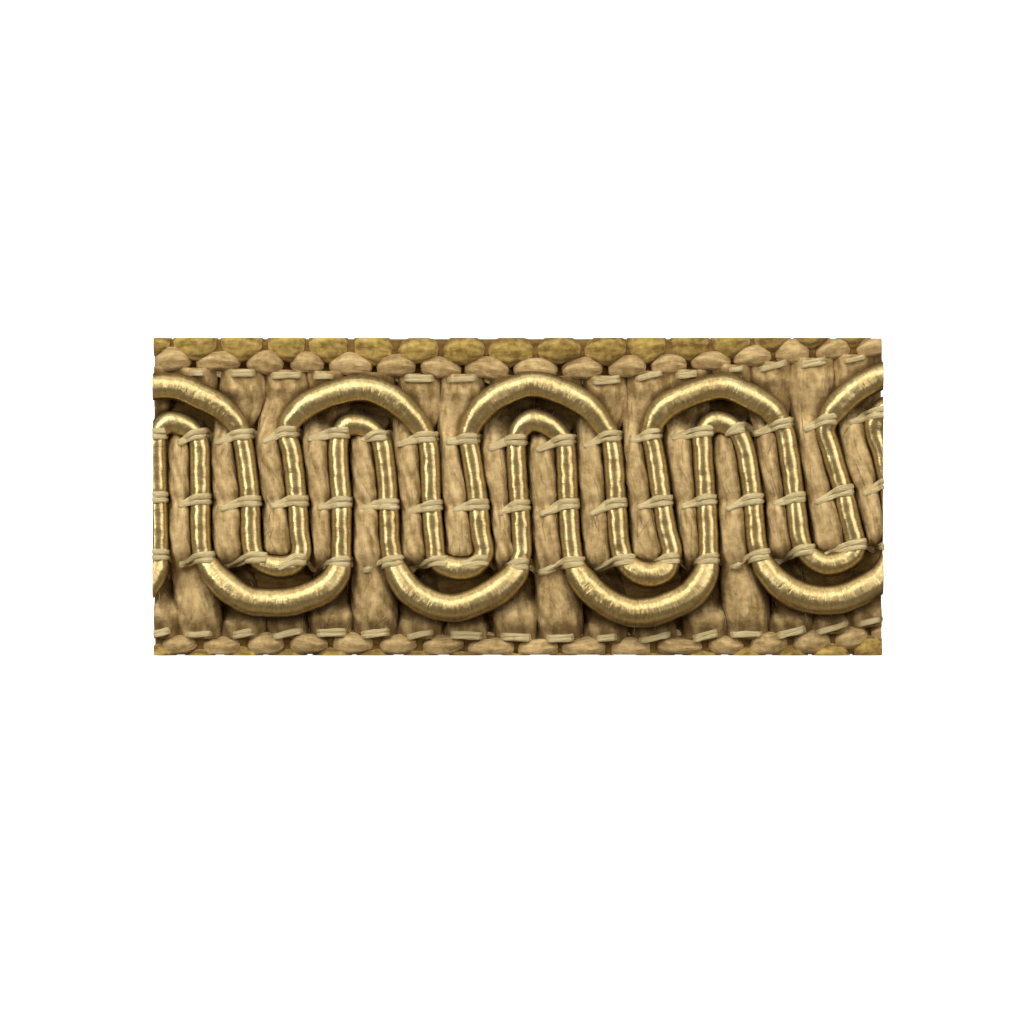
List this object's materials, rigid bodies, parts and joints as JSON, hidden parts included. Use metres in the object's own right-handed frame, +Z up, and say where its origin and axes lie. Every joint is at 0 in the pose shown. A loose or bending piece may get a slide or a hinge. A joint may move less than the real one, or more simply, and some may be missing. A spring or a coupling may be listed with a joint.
{
  "type": "gimp braid trim",
  "caption": "Flat woven braid trim with looped edges, on which satin gimp cords run in interleaved waves under rows of fine binding thread.",
  "frame": {"origin": "centre of the underside, at the bottom centre of the bounding box", "axes": "+X along the braid, +Y across it, +Z up from the surface that it lies on, through its thickness"},
  "size_m": [0.0364, 0.0162, 0.003],
  "materials": {
    "cotton_ground": "matt, softly fuzzy tan cotton weft, with more golden loops along the rims",
    "satin_gimp": "fine lustrous thread wound closely round a core, with bright satin highlights",
    "binding_thread": "pale, slightly lustrous twisted sewing thread"
  },
  "bodies": {
    "root": {"ground": "cotton_ground", "gimp_cord_a": "satin_gimp", "gimp_cord_b": "satin_gimp", "binding_upper": "binding_thread", "binding_middle": "binding_thread", "binding_lower": "binding_thread"}
  },
  "joints": []
}
